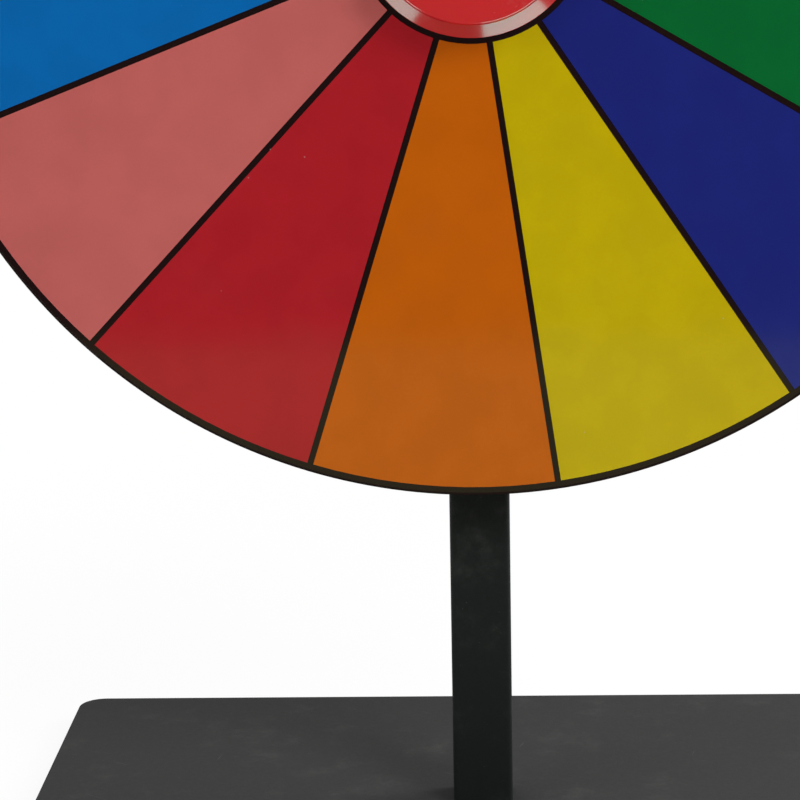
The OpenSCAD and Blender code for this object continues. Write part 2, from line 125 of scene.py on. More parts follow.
def closed(name, shape, place):  # a bmesh to an object, faces outwards
    bmesh.ops.recalc_face_normals(shape, faces=shape.faces[:])
    shape.transform(Matrix.Scale(mm, 4) @ place)
    mesh = bpy.data.meshes.new(name)
    shape.to_mesh(mesh)
    shape.free()
    made = bpy.data.objects.new(name, mesh)
    bpy.context.scene.collection.objects.link(made)
    return made


def turned(name, profile, steps, place=onAxle):  # a closed profile of (radius, height) spun round z
    shape = bmesh.new()
    rings = []
    for radius, height in profile:
        around = steps if radius > 1e-6 else 1
        angles = [2 * pi * i / around for i in range(around)]
        rings.append([shape.verts.new((radius * cos(a), radius * sin(a), height)) for a in angles])
    for ring, after in zip(rings, rings[1:] + rings[:1]):
        for i in range(steps):
            j = (i + 1) % steps
            corners = [ring[i % len(ring)], ring[j % len(ring)], after[j % len(after)], after[i % len(after)]]
            corners = list(dict.fromkeys(corners))  # a point on the axis makes a triangle
            if len(corners) > 2:
                shape.faces.new(corners)
    return closed(name, shape, place)


def rod(name, radius, low, high, steps=32, place=onAxle):
    return turned(name, [(0, low), (radius, low), (radius, high), (0, high)], steps, place)


def pressed(name, outline, low, high, place=onAxle, inner=None):  # an outline, or a tube of two, made thick
    shape = bmesh.new()
    outlines = [outline, inner] if inner else [outline]
    loops = [[shape.verts.new((x, y, z)) for x, y in points] for points in outlines for z in (low, high)]
    walls = [(loops[0], loops[1])]
    if inner:
        walls += [(loops[2], loops[3]), (loops[0], loops[2]), (loops[1], loops[3])]
    for one, other in walls:
        for i in range(len(one)):
            j = (i + 1) % len(one)
            shape.faces.new((one[i], one[j], other[j], other[i]))
    if not inner:
        shape.faces.new(loops[0])
        shape.faces.new(loops[1])
    return closed(name, shape, place)


edges = {"easedAbove": 35, "sharpAbove": 38}  # angles in degrees between faces


def applied(piece):  # its modifiers become its mesh
    bpy.context.view_layer.update()
    graph = bpy.context.evaluated_depsgraph_get()
    result = piece.evaluated_get(graph)
    mesh = bpy.data.meshes.new_from_object(result, preserve_all_data_layers=True, depsgraph=graph)
    piece.modifiers.clear()
    piece.data = mesh
    mesh.name = piece.name
    return piece


def carved(piece, *tools, operation="DIFFERENCE"):  # takes the tools out of a piece, or joins them to it
    for tool in tools:
        knife = piece.modifiers.new("carve", "BOOLEAN")
        knife.object = tool
        knife.operation = operation
        knife.solver = "EXACT"
    applied(piece)
    for tool in tools:
        bpy.data.objects.remove(tool)
    return piece


def eased(piece, width, segments):  # rounds its sharp edges
    edge = piece.modifiers.new("ease", "BEVEL")
    edge.width = width * mm
    edge.segments = segments
    edge.limit_method = "ANGLE"
    edge.angle_limit = radians(edges["easedAbove"])
    return applied(piece)


def smoothed(piece):
    piece.data.polygons.foreach_set("use_smooth", [True] * len(piece.data.polygons))
    piece.data.set_sharp_from_angle(angle=radians(edges["sharpAbove"]))
    weighted = piece.modifiers.new("flats", "WEIGHTED_NORMAL")  # keeps flat faces flat beside round edges
    weighted.keep_sharp = True
    return applied(piece)


def settled(piece, body, slot, *nodes, finish=None):  # its finish, its body and the parts it stands for
    smoothed(piece)
    piece.data.materials.clear()
    piece.data.materials.append(finish or finishes[slot])
    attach(piece, body)
    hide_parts(*nodes)
    return piece


# node trees

class Wire:  # a socket in a node tree: operators add Math nodes, node() adds any other
    def __init__(self, tree, socket=None):
        self.tree = tree
        self.socket = socket

    def node(self, kind, settings=None, sockets=None, out=0):
        made = self.tree.nodes.new(kind)
        for name, value in (settings or {}).items():
            setattr(made, name, value)
        for name, value in (sockets or {}).items():
            if isinstance(value, Wire):
                self.tree.links.new(value.socket, made.inputs[name])
            else:
                made.inputs[name].default_value = value
        return Wire(self.tree, made.outputs[out] if made.outputs else None)

    def outputs(self):  # all that the same node gives, by name
        return {socket.name: Wire(self.tree, socket) for socket in self.socket.node.outputs}

    def math(self, operation, *values):
        return self.node("ShaderNodeMath", {"operation": operation}, dict(enumerate(values)))

    def __add__(self, other):
        return self.math("ADD", self, other)

    def __sub__(self, other):
        return self.math("SUBTRACT", self, other)

    def __rsub__(self, other):
        return self.math("SUBTRACT", other, self)

    def __mul__(self, other):
        return self.math("MULTIPLY", self, other)

    __radd__ = __add__
    __rmul__ = __mul__


def paint(red, green, blue):  # a colour as seen on screen, 0 to 255, to a shader's own
    shares = [level / 255 for level in (red, green, blue)]
    return tuple(c / 12.92 if c < 0.04045 else ((c + 0.055) / 1.055) ** 2.4 for c in shares) + (1,)


def toned(colour, gain):
    return tuple(min(1, c * gain) for c in colour[:3]) + (1,)


def mixed(mask, colour, other):
    return mask.node("ShaderNodeMix", {"data_type": "RGBA"}, {0: mask, 6: colour, 7: other}, 2)


def noise(spot, scale, detail=3, rough=0.5):  # scale is in features to the metre
    sockets = {"Vector": spot, "Scale": scale, "Detail": detail, "Roughness": rough}
    return spot.node("ShaderNodeTexNoise", {}, sockets)


def stretched(spot, scale, turn=(0, 0, 0)):  # the same coordinates, turned and then scaled along each axis
    settings = {"rotation_type": "EULER_XYZ"}
    facing = spot.node("ShaderNodeVectorRotate", settings, {"Vector": spot, "Rotation": turn})
    return spot.node("ShaderNodeVectorMath", {"operation": "MULTIPLY"}, {0: facing, 1: scale})


def ramped(value, low, high):  # 0 at low, 1 at high
    sockets = {"Value": value, "From Min": low, "From Max": high}
    return value.node("ShaderNodeMapRange", {"interpolation_type": "SMOOTHSTEP"}, sockets)


def axes(spot):  # x, y and z of the coordinates
    return list(spot.node("ShaderNodeSeparateXYZ", {}, {0: spot}).outputs().values())


def cells(spot, scale):  # distance to the nearest of scattered points, and a random number for each point
    near = spot.node("ShaderNodeTexVoronoi", {}, {"Vector": spot, "Scale": scale})
    return near, spot.node("ShaderNodeSeparateColor", {}, {0: near.outputs()["Color"]})


def specks(spot, scale, size, share):  # scattered round dots, on a share of the points
    near, pick = cells(spot, scale)
    return (1 - ramped(near, size * 0.6, size)) * ramped(pick, 1 - share, 1 - share + 0.01)


def scratches(spot, scale, turn, share):  # thin broken lines along one direction
    lines = noise(stretched(spot, scale, turn), 1, 2, 0.6)
    return ramped(lines, 1 - share, 1 - share + 0.05)


def newFinish(name):
    made = bpy.data.materials.new(name)
    made.use_nodes = True
    made.node_tree.nodes.clear()
    return made, Wire(made.node_tree).node("ShaderNodeTexCoord", out="Object")


def madeFinish(made, spot, colour, rough, height, lift, metal=0.0, specular=0.5, **fixed):  # wires it up
    bump = spot.node("ShaderNodeBump", {}, {"Height": height, "Strength": 1.0, "Distance": lift * mm})
    sockets = {"Base Color": colour, "Roughness": rough, "Metallic": metal, "Normal": bump}
    sockets["Specular IOR Level"] = specular
    sockets.update({name.replace("_", " "): value for name, value in fixed.items()})
    shader = spot.node("ShaderNodeBsdfPrincipled", {}, sockets)
    spot.node("ShaderNodeOutputMaterial", {}, {"Surface": shader})
    return made


layouts = {"ring": {"Count": "Int", "Radius": "Float", "Start": "Float"},
           "row": {"Count": "Int", "Begin": "Vector", "Step": "Vector"},
           "corners": {"Width": "Float", "Depth": "Float"}}


def copiesTree(layout):  # Geometry Nodes: copies of one part on a ring, in a row or at four corners
    tree = bpy.data.node_groups.new(layout + "OfParts", "GeometryNodeTree")
    kinds = {"Part": "Object", **layouts[layout], "Spin": "Float", "Seed": "Int", "Turn": "Vector",
             "Place": "Vector", "Finish": "Material"}
    for label, kind in kinds.items():
        tree.interface.new_socket(label, in_out="INPUT", socket_type="NodeSocket" + kind)
    tree.interface.new_socket("Geometry", in_out="OUTPUT", socket_type="NodeSocketGeometry")
    start = Wire(tree)
    given = start.node("NodeGroupInput").outputs()

    def facing(euler):
        return start.node("FunctionNodeEulerToRotation", {}, {"Euler": euler})

    def moved(geometry, euler, place=(0, 0, 0)):
        sockets = {"Geometry": geometry, "Rotation": facing(euler), "Translation": place}
        return start.node("GeometryNodeTransform", {}, sockets)

    if layout == "ring":
        sockets = {"Vertices": given["Count"], "Radius": given["Radius"]}
        circle = start.node("GeometryNodeMeshCircle", {}, sockets)
        points = moved(circle, start.node("ShaderNodeCombineXYZ", {}, {"Z": given["Start"]}))
    elif layout == "row":
        sockets = {"Count": given["Count"], "Start Location": given["Begin"], "Offset": given["Step"]}
        points = start.node("GeometryNodeMeshLine", {}, sockets)
    else:
        sockets = {"Size X": given["Width"], "Size Y": given["Depth"], "Vertices X": 2, "Vertices Y": 2}
        points = start.node("GeometryNodeMeshGrid", {}, sockets)
    part = start.node("GeometryNodeObjectInfo", {}, {"Object": given["Part"]}, "Geometry")
    most = start.node("ShaderNodeCombineXYZ", {}, {"Z": given["Spin"]})
    sockets = {0: (0, 0, 0), 1: most, "Seed": given["Seed"]}
    loose = start.node("FunctionNodeRandomValue", {"data_type": "FLOAT_VECTOR"}, sockets)
    sockets = {"Points": points, "Instance": part, "Rotation": facing(loose)}
    copied = start.node("GeometryNodeInstanceOnPoints", {}, sockets)
    placed = moved(copied, given["Turn"], given["Place"])
    whole = start.node("GeometryNodeRealizeInstances", {}, {"Geometry": placed})
    painted = start.node("GeometryNodeSetMaterial", {}, {"Geometry": whole, "Material": given["Finish"]})
    start.node("NodeGroupOutput", {}, {"Geometry": painted})
    return tree


trees = {layout: copiesTree(layout) for layout in layouts}
seed = 7  # for the copies' loose turns


def repeated(name, layout, part, body, slot, node, **values):  # runs a tree and settles the plain mesh
    made = bpy.data.objects.new(name, bpy.data.meshes.new(name))
    bpy.context.scene.collection.objects.link(made)
    nodes = made.modifiers.new("copies", "NODES")
    nodes.node_group = trees[layout]
    values = {"Part": part, "Finish": finishes[slot], "Seed": seed, **values}
    for socket in trees[layout].interface.items_tree:
        if socket.in_out == "INPUT" and socket.name in values:
            nodes[socket.identifier] = values[socket.name]
    applied(made)
    bpy.data.objects.remove(part)
    return settled(made, body, slot, node)


# finishes

film = {"colours": {"blue": paint(4, 93, 160), "pink": paint(177, 89, 85), "red": paint(157, 25, 33),
                    "orange": paint(177, 85, 2), "yellow": paint(177, 156, 0), "navy": paint(25, 33, 108),
                    "green": paint(4, 92, 40)},
        "black": paint(26, 12, 12), "speck": paint(196, 190, 182), "gloss": 0.05, "shine": 0.5, "smears": 0.1,
        "peel": 0.004, "peelScale": 230, "drift": 0.045, "driftScale": 14, "mottle": 0.04, "mottleScale": 55,
        "grainScale": 900, "touchScale": 26, "wipeScale": (7, 60, 60), "wipeTurn": (0, radians(28), 0),
        "scratchScale": (40, 900, 900), "scratchTurn": (0, radians(64), 0), "scratchShare": 0.3,
        "speckScale": 90, "speckSize": 0.035, "speckShare": 0.25, "speckTint": 0.28}


def filmFinish(name, colour):  # gloss print on vinyl: slow drift of tone, fine grain, wipe marks, specks
    made, spot = newFinish(name)
    drift = ramped(noise(spot, film["driftScale"]), 0.35, 0.65)
    mottle = ramped(noise(spot, film["mottleScale"], 4, 0.6), 0.38, 0.64)
    grain = noise(spot, film["grainScale"], 2)
    wipes = noise(stretched(spot, film["wipeScale"], film["wipeTurn"]), 1, 5, 0.6)
    touched = ramped(noise(spot, film["touchScale"], 4, 0.6), 0.52, 0.72)
    ink = mixed(drift, toned(colour, 1 - film["drift"]), toned(colour, 1 + film["drift"]))
    worn = mixed(mottle, toned(colour, 1 - film["mottle"]), toned(colour, 1 + 2 * film["mottle"]))
    ink = mixed(0.3 + 0.4 * ramped(grain, 0.35, 0.75), ink, worn)
    dots = specks(spot, film["speckScale"], film["speckSize"], film["speckShare"])
    ink = mixed(dots * film["speckTint"], ink, film["speck"])
    rough = film["gloss"] + film["smears"] * (0.6 * wipes + 0.5 * touched)
    marks = scratches(spot, film["scratchScale"], film["scratchTurn"], film["scratchShare"])
    height = noise(spot, film["peelScale"], 2) + 0.25 * marks
    return madeFinish(made, spot, ink, rough, height, film["peel"], specular=film["shine"])


edgeVinyl = {"scuffed": paint(52, 46, 45), "scuffScale": 34, "grainScale": 900, "rough": 0.3, "shine": 0.2,
             "lift": 0.05, "joint": paint(12, 10, 10), "jointAngle": radians(75),
             "jointEdges": (0.0006, 0.0014)}


def edgeVinylFinish(name):  # the black band: fine grain, scuffed where hands spin it, a butt joint
    made, spot = newFinish(name)
    x, y, z = axes(spot)
    around = spot.math("ARCTAN2", z - axleHeight * mm, x)
    fromJoint = spot.math("ABSOLUTE", around - edgeVinyl["jointAngle"])
    joint = 1 - ramped(fromJoint, *edgeVinyl["jointEdges"])
    scuff = ramped(noise(spot, edgeVinyl["scuffScale"], 5, 0.65), 0.55, 0.75)
    fine = noise(spot, edgeVinyl["grainScale"], 2)
    ink = mixed(scuff * 0.6, film["black"], edgeVinyl["scuffed"])
    ink = mixed(joint, ink, edgeVinyl["joint"])
    rough = edgeVinyl["rough"] + 0.2 * scuff + 0.08 * fine
    height = fine * 0.4 - joint
    return madeFinish(made, spot, ink, rough, height, edgeVinyl["lift"], specular=edgeVinyl["shine"])


powder = {"base": paint(55, 55, 55), "baseRough": 0.8, "baseShine": 0.03, "post": paint(25, 29, 28),
          "postRough": 0.5, "postShine": 0.15, "dust": paint(128, 126, 122), "scratch": paint(120, 120, 118),
          "rubbed": paint(120, 119, 117), "rubbedWidth": 1.2, "rubbedScale": 60, "rubbedTint": 0.3,
          "peel": 0.035, "driftScale": 11, "pebbleScale": 620, "dustScale": 42,
          "scratches": [((30, 700, 700), (0, 0, radians(37)), 0.27),  # each: scale, turn, share
                        ((700, 26, 700), (0, 0, radians(12)), 0.26)]}


def powderFinish(name, colour, dull, shine, halfSize=None):  # orange peel, dust, scratches, a rubbed rim
    made, spot = newFinish(name)
    x, y, z = axes(spot)
    drift = noise(spot, powder["driftScale"], 4)
    pebble = noise(spot, powder["pebbleScale"], 3, 0.6)
    dust = ramped(noise(spot, powder["dustScale"], 6, 0.7), 0.5, 0.85)
    coat = mixed(drift, toned(colour, 0.9), toned(colour, 1.1))
    coat = mixed(ramped(pebble, 0.3, 0.8) * 0.45, coat, toned(colour, 1.28))
    coat = mixed(dust * 0.12, coat, powder["dust"])
    along, across = [scratches(spot, *kind) for kind in powder["scratches"]]
    marks = along + across
    coat = mixed(marks * 0.16, coat, powder["scratch"])
    rough = dull + 0.14 * drift - 0.1 * marks + 0.1 * dust
    if halfSize:
        rims = []
        for place, half in zip((x, y), halfSize):
            inner = (half - powder["rubbedWidth"]) * mm
            rims.append(ramped(spot.math("ABSOLUTE", place), inner, half * mm))
        broken = ramped(noise(spot, powder["rubbedScale"], 5, 0.7), 0.5, 0.7)
        rubbed = spot.math("MAXIMUM", *rims) * broken
        coat = mixed(rubbed * powder["rubbedTint"], coat, powder["rubbed"])
    return madeFinish(made, spot, coat, rough, pebble, powder["peel"], specular=shine)


zinc = {"dark": paint(176, 178, 182), "light": paint(206, 208, 212), "cast": paint(196, 190, 168),
        "spangleScale": 800, "castScale": 120, "grainScale": 1500, "scratchScale": (120, 2600, 2600),
        "scratchTurn": (radians(20), 0, radians(50)), "scratchShare": 0.36, "rough": 0.24, "lift": 0.01}


def zincFinish(name):  # bright zinc plate: small spangles, a yellow cast in places, fine scratches
    made, spot = newFinish(name)
    spangle = cells(spot, zinc["spangleScale"])[1]
    cast = ramped(noise(spot, zinc["castScale"]), 0.45, 0.7)
    marks = scratches(spot, zinc["scratchScale"], zinc["scratchTurn"], zinc["scratchShare"])
    plate = mixed(spangle, zinc["dark"], zinc["light"])
    plate = mixed(cast * 0.35, plate, zinc["cast"])
    rough = zinc["rough"] + 0.12 * spangle + 0.18 * cast + 0.15 * marks
    height = noise(spot, zinc["grainScale"], 2) + marks
    return madeFinish(made, spot, plate, rough, height, zinc["lift"], metal=1.0)


ground = {"steelDark": paint(168, 170, 174), "steelLight": paint(214, 216, 220),
          "brassDark": paint(160, 124, 66), "brassLight": paint(214, 176, 104), "ringScale": 2600,
          "stainScale": 160, "rough": 0.16, "lift": 0.006}


def groundFinish(name, dark, light):  # ground steel or pressed brass: rings of tool marks round the axle
    made, spot = newFinish(name)
    x, y, z = axes(spot)
    up = z - axleHeight * mm
    out = spot.math("SQRT", x * x + up * up)
    across = spot.node("ShaderNodeCombineXYZ", {}, {"X": out, "Y": y})
    sockets = {"Vector": across, "Scale": ground["ringScale"], "Detail": 2}
    rings = spot.node("ShaderNodeTexNoise", {"noise_dimensions": "2D"}, sockets)
    stain = ramped(noise(spot, ground["stainScale"], 4), 0.45, 0.75)
    metal = mixed(rings, dark, light)
    metal = mixed(stain * 0.3, metal, toned(dark, 0.8))
    rough = ground["rough"] + 0.16 * rings + 0.14 * stain
    return madeFinish(made, spot, metal, rough, rings, ground["lift"], metal=1.0)


moulded = {"red": paint(187, 10, 30), "black": paint(30, 30, 31), "nylon": paint(224, 220, 206),
           "scuffed": paint(214, 208, 204), "scuffScale": 55, "flowScale": (30, 8, 30),
           "scratchScale": (60, 1300, 1300), "scratchTurn": (0, radians(40), radians(15)),
           "scratchShare": 0.3}


def mouldedFinish(name, colour, gloss, lift, grain, specular=0.5, **fixed):  # tool texture, flow, scuffs
    made, spot = newFinish(name)
    flow = noise(stretched(spot, moulded["flowScale"]), 1, 4)
    tool = noise(spot, grain, 3, 0.6)
    scuff = ramped(noise(spot, moulded["scuffScale"], 5, 0.7), 0.56, 0.8)
    marks = scratches(spot, moulded["scratchScale"], moulded["scratchTurn"], moulded["scratchShare"])
    body = mixed(flow, toned(colour, 0.93), toned(colour, 1.06))
    body = mixed(marks * 0.12 + scuff * 0.06, body, moulded["scuffed"])
    rough = gloss + 0.1 * scuff + 0.12 * marks + 0.05 * tool
    return madeFinish(made, spot, body, rough, tool + 0.3 * marks, lift, specular=specular, **fixed)


board = {"thick": paint(38, 36, 35), "thin": paint(54, 50, 46), "thinScale": 19, "rollerScale": 260,
         "fibre": paint(92, 80, 66), "fibreScale": (900, 200, 90), "fibreTurn": (0, radians(30), 0),
         "rough": 0.62, "shine": 0.3, "lift": 0.05}


def boardFinish(name):  # the disc's back: black paint rolled over fibreboard, fibres showing through
    made, spot = newFinish(name)
    fibres = noise(stretched(spot, board["fibreScale"], board["fibreTurn"]), 1, 3, 0.65)
    roller = noise(spot, board["rollerScale"])
    thin = ramped(noise(spot, board["thinScale"], 5, 0.6), 0.5, 0.75)
    coat = mixed(thin, board["thick"], board["thin"])
    coat = mixed(ramped(fibres, 0.62, 0.72) * 0.4, coat, board["fibre"])
    rough = board["rough"] + 0.2 * thin
    return madeFinish(made, spot, coat, rough, roller + 0.6 * fibres, board["lift"], specular=board["shine"])


rubber = {"black": paint(22, 22, 22), "grainScale": 1800, "chalk": paint(62, 60, 58), "chalkScale": 90,
          "rough": 0.75, "shine": 0.25, "lift": 0.04}


def rubberFinish(name):  # dull, with a chalky bloom in places
    made, spot = newFinish(name)
    grain = noise(spot, rubber["grainScale"], 3, 0.7)
    chalk = ramped(noise(spot, rubber["chalkScale"], 5, 0.7), 0.48, 0.8)
    skin = mixed(chalk * 0.5, rubber["black"], rubber["chalk"])
    rough = rubber["rough"] + 0.15 * chalk
    return madeFinish(made, spot, skin, rough, grain, rubber["lift"], specular=rubber["shine"])


baseLow, baseHigh = span("base_plate")
finishes = {colour + "_vinyl": filmFinish(colour + "Film", ink) for colour, ink in film["colours"].items()}
finishes["black_vinyl"] = filmFinish("blackFilm", film["black"])
finishes["base_paint"] = powderFinish("basePowder", powder["base"], powder["baseRough"], powder["baseShine"],
                                      (baseHigh.x, baseHigh.y))
finishes["black_paint"] = powderFinish("postPowder", powder["post"], powder["postRough"], powder["postShine"])
finishes["zinc_steel"] = zincFinish("zincPlate")
finishes["bearing_steel"] = groundFinish("groundSteel", ground["steelDark"], ground["steelLight"])
finishes["cage_brass"] = groundFinish("pressedBrass", ground["brassDark"], ground["brassLight"])
finishes["red_plastic"] = mouldedFinish("redMoulding", moulded["red"], gloss=0.12, lift=0.006, grain=420,
                                        Coat_Weight=0.25, Coat_Roughness=0.06)
finishes["black_plastic"] = mouldedFinish("blackMoulding", moulded["black"], gloss=0.45, lift=0.03,
                                          grain=1500, specular=0.4)
finishes["nylon"] = mouldedFinish("naturalNylon", moulded["nylon"], gloss=0.38, lift=0.015, grain=900)
finishes["fibreboard"] = boardFinish("paintedBoard")
finishes["black_rubber"] = rubberFinish("footRubber")
bandFinish = edgeVinylFinish("edgeBandVinyl")
print("finishes:", len(finishes) + 1)

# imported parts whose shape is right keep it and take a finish
kept = {"zinc_steel": ["post_foot_block", "post_top_block", "axle_sleeve", "axle_lock_nut"],
        "bearing_steel": ["axle_shim", "bearing_spacer", "axle_end_washer", "bearing_shields"],
        "cage_brass": [], "nylon": ["lock_nut_ring"], "fibreboard": ["wheel_board"],
        "black_vinyl": ["backing_film"]}
for bearing in ("rear_bearing_", "front_bearing_"):
    kept["bearing_steel"] += [bearing + piece for piece in ("inner_race", "outer_race", "balls")]
    kept["cage_brass"].append(bearing + "cage")
for colour in film["colours"]:
    kept[colour + "_vinyl"] = [colour + "_segments"]
for slot, nodes in kept.items():
    for node in nodes:
        part = frame["nodes"][node]
        part.data.materials.clear()
        part.data.materials.append(finishes[slot])

# hardware: nuts, washers and screws

hardware = {"steps": 48, "hexEase": 0.93, "hexSlope": radians(30), "threadMouth": 1.25, "threadEnd": 0.4,
            "threadGap": 0.05, "washerEdge": 0.25, "socketShare": 0.65, "tipEdge": (0.5, 0.6),
            "rimShare": 0.34, "crownShare": 0.33, "headEdges": (0.12, 0.5, 0.9)}


def hexNut(name, across, low, high, bore, place=upright, easeHigh=True):  # a hexagon with turned corners
    corner = across / sqrt(3)
    face = across / 2 * hardware["hexEase"]
    slope = (corner - face) * tan(hardware["hexSlope"])
    over = 0.01
    nut = pressed(name, polygon(corner, 6), low, high, place)
    profile = [(0, low - over), (face, low - over), (corner + over, low + slope),
               (corner + over, high - slope), (face if easeHigh else corner + past, high + over),
               (0, high + over)]
    carved(nut, turned("turnedCorners", profile, hardware["steps"], place), operation="INTERSECT")
    if bore:
        mouth = bore + hardware["threadMouth"]
        end = hardware["threadEnd"]
        hole = [(0, low - past), (mouth, low - past), (bore, low + end),
                (bore, high - end), (mouth, high + past), (0, high + past)]
        carved(nut, turned("bore", hole, hardware["steps"], place))
    return nut


def washer(name, outer, inner, low, high, place=upright):
    edge = hardware["washerEdge"]
    corners = [(inner, low, edge / 2), (outer, low, edge), (outer, high, edge), (inner, high, edge / 2)]
    return turned(name, rounded(corners, 3), hardware["steps"], place)


def buttonScrew(name, size, tip, seat, head, headHeight, place=upright):  # domed, with a hex socket
    r = size / 2
    top = seat + headHeight
    inward, upward = hardware["tipEdge"]
    seatEdge, rimEdge, crownEdge = hardware["headEdges"]
    corners = [(0, tip, 0), (r - inward, tip, 0), (r, tip + upward, 0), (r, seat, 0),
               (head / 2, seat, seatEdge), (head / 2, seat + headHeight * hardware["rimShare"], rimEdge),
               (head * hardware["crownShare"], top, crownEdge), (0, top, 0)]
    screw = turned(name, rounded(corners, 5), hardware["steps"], place)
    key = polygon(size * hardware["socketShare"] / 2, 6)
    return carved(screw, pressed("key", key, top - headHeight / 2, top + past, place))


# stand

basePlate = {"corner": 12, "edge": 0.8, "hole": 2.6, "sink": 5.1, "sinkDepth": 2.5, "holeGap": 12}
plateOutline = rectangle(baseHigh.x, baseHigh.y, basePlate["corner"], 14)
plate = pressed("basePlate", plateOutline, baseLow.z, baseHigh.z, upright)
eased(plate, basePlate["edge"], 4)
sinkProfile = [(0, baseLow.z - past), (basePlate["sink"] + past, baseLow.z - past),
               (basePlate["hole"], baseLow.z + basePlate["sinkDepth"]),
               (basePlate["hole"], baseHigh.z + past), (0, baseHigh.z + past)]
sinks = []
for side in (-1, 1):
    place = Matrix.Translation((side * basePlate["holeGap"] / 2, 0, 0))
    sinks.append(turned("sink", sinkProfile, hardware["steps"], place))
settled(carved(plate, *sinks), "stand", "base_paint", "base_plate")

foot = {"width": 24, "taper": 0.6, "floorEdge": 1.2, "topEdge": 0.4, "hollow": 6.5, "hollowDepth": 0.7,
        "hollowSlope": 1, "hollowEdge": 0.4, "steps": 64}
footLow, footHigh = span("rubber_feet")
r = foot["width"] / 2
footCorners = [(0, foot["hollowDepth"], 0),
               (foot["hollow"] - foot["hollowSlope"], foot["hollowDepth"], foot["hollowEdge"]),
               (foot["hollow"], 0, foot["hollowEdge"]), (r - foot["taper"], 0, foot["floorEdge"]),
               (r, footHigh.z, foot["topEdge"]), (0, footHigh.z, 0)]
part = turned("foot", rounded(footCorners, 5), foot["steps"], upright)
repeated("rubberFeet", "corners", part, "stand", "black_rubber", "rubber_feet", Spin=pi,
         Width=(footHigh.x - footLow.x - foot["width"]) * mm,
         Depth=(footHigh.y - footLow.y - foot["width"]) * mm)

footScrew = {"size": 5, "head": 10, "headDepth": 2.5, "headEdge": 0.2, "tipEdge": (0.5, 0.6), "keyDepth": 1.3}
screwLow, screwHigh = span("foot_screws")
r = footScrew["size"] / 2
headRadius = footScrew["head"] / 2
inward, upward = footScrew["tipEdge"]
screwProfile = [(0, screwLow.z), (headRadius - footScrew["headEdge"], screwLow.z),
                (headRadius, screwLow.z + footScrew["headEdge"]), (r, screwLow.z + footScrew["headDepth"]),
                (r, screwHigh.z - upward), (r - inward, screwHigh.z), (0, screwHigh.z)]
part = turned("footScrew", screwProfile, hardware["steps"], upright)
key = polygon(footScrew["size"] * hardware["socketShare"] / 2, 6)
carved(part, pressed("key", key, screwLow.z - past, screwLow.z + footScrew["keyDepth"], upright))
repeated("footScrews", "row", part, "stand", "zinc_steel", "foot_screws", Count=2, Spin=pi / 3,
         Begin=(-basePlate["holeGap"] / 2 * mm, 0, 0), Step=(basePlate["holeGap"] * mm, 0, 0))

post = {"corner": 2.5, "wall": 1.5, "edge": 0.25, "axleHole": 4.1, "pivotHole": 2.1, "drill": 20}
postLow, postHigh = span("post")
postHalf = postHigh.x
postInside = postHalf - post["wall"]
tube = pressed("post", rectangle(postHalf, postHalf, post["corner"], 8), postLow.z, postHigh.z, upright,
               rectangle(postInside, postInside, post["corner"] - post["wall"], 8))
eased(tube, post["edge"], 2)
axleDrill = rod("axleDrill", post["axleHole"], -post["drill"], post["drill"], steps=40)
pivotDrill = rod("pivotDrill", post["pivotHole"], 0, post["drill"], place=onFace(pivotSide, pivotHeight))
settled(carved(tube, axleDrill, pivotDrill), "stand", "black_paint", "post")
print("stand: base, feet and post")

# pointer on its bent arm

pointerArm = {"thick": 3, "innerBend": 1.2, "outerBend": 3, "edge": 0.4, "drill": 2.1, "screwGap": 11,
              "screw": 4, "screwHead": 7.2, "screwHeadHeight": 2.2}
pointer = {"corner": 3, "sides": 15, "edge": 0.7, "drill": 2.1, "screwGap": 16, "screw": 4, "nutAcross": 6.4}
armLow, armHigh = span("pointer_arm")
pointLow, pointHigh = span("pointer")
pointBack, pointFront = depths("pointer")
armBack = -armHigh.y
tabBack = pointBack - pointerArm["thick"]
armCorners = [(armBack, postHigh.z, 0), (tabBack, postHigh.z, pointerArm["innerBend"]),
              (tabBack, armLow.z, 0), (pointBack, armLow.z, 0),
              (pointBack, armHigh.z, pointerArm["outerBend"]), (armBack, armHigh.z, 0)]
strap = pressed("pointerArm", rounded(armCorners, 8), armLow.x, armHigh.x, fromSide)
eased(strap, pointerArm["edge"], 3)
pointScrewHeight = pointHigh.z - pointer["sides"] / 2
armDrills = []
pointerDrills = []
for side in (-1, 1):
    onArm = Matrix.Translation((side * pointerArm["screwGap"] / 2, 0, 0))
    drill = rod("armDrill", pointerArm["drill"], postHigh.z - past, armHigh.z + past, place=onArm)
    armDrills.append(drill)
    onTab = onFace(side * pointer["screwGap"] / 2, pointScrewHeight)
    drill = rod("tabDrill", pointer["drill"], tabBack - past, pointBack + past, place=onTab)
    armDrills.append(drill)
    drill = rod("pointerDrill", pointer["drill"], pointBack - past, pointFront + past, place=onTab)
    pointerDrills.append(drill)
settled(carved(strap, *armDrills), "stand", "black_paint", "pointer_arm")

side = pointHigh.x - pointer["corner"]
top = pointHigh.z - axleHeight
arrowCorners = [(0, pointLow.z - axleHeight + pointer["corner"]), (side, top - pointer["sides"]),
                (side, top - pointer["corner"]), (-side, top - pointer["corner"]),
                (-side, top - pointer["sides"])]
arrowOutline = wrapped([(x, y, pointer["corner"]) for x, y in arrowCorners])
arrow = pressed("pointer", arrowOutline, pointBack, pointFront)
eased(arrow, pointer["edge"], 4)
settled(carved(arrow, *pointerDrills), "stand", "red_plastic", "pointer")

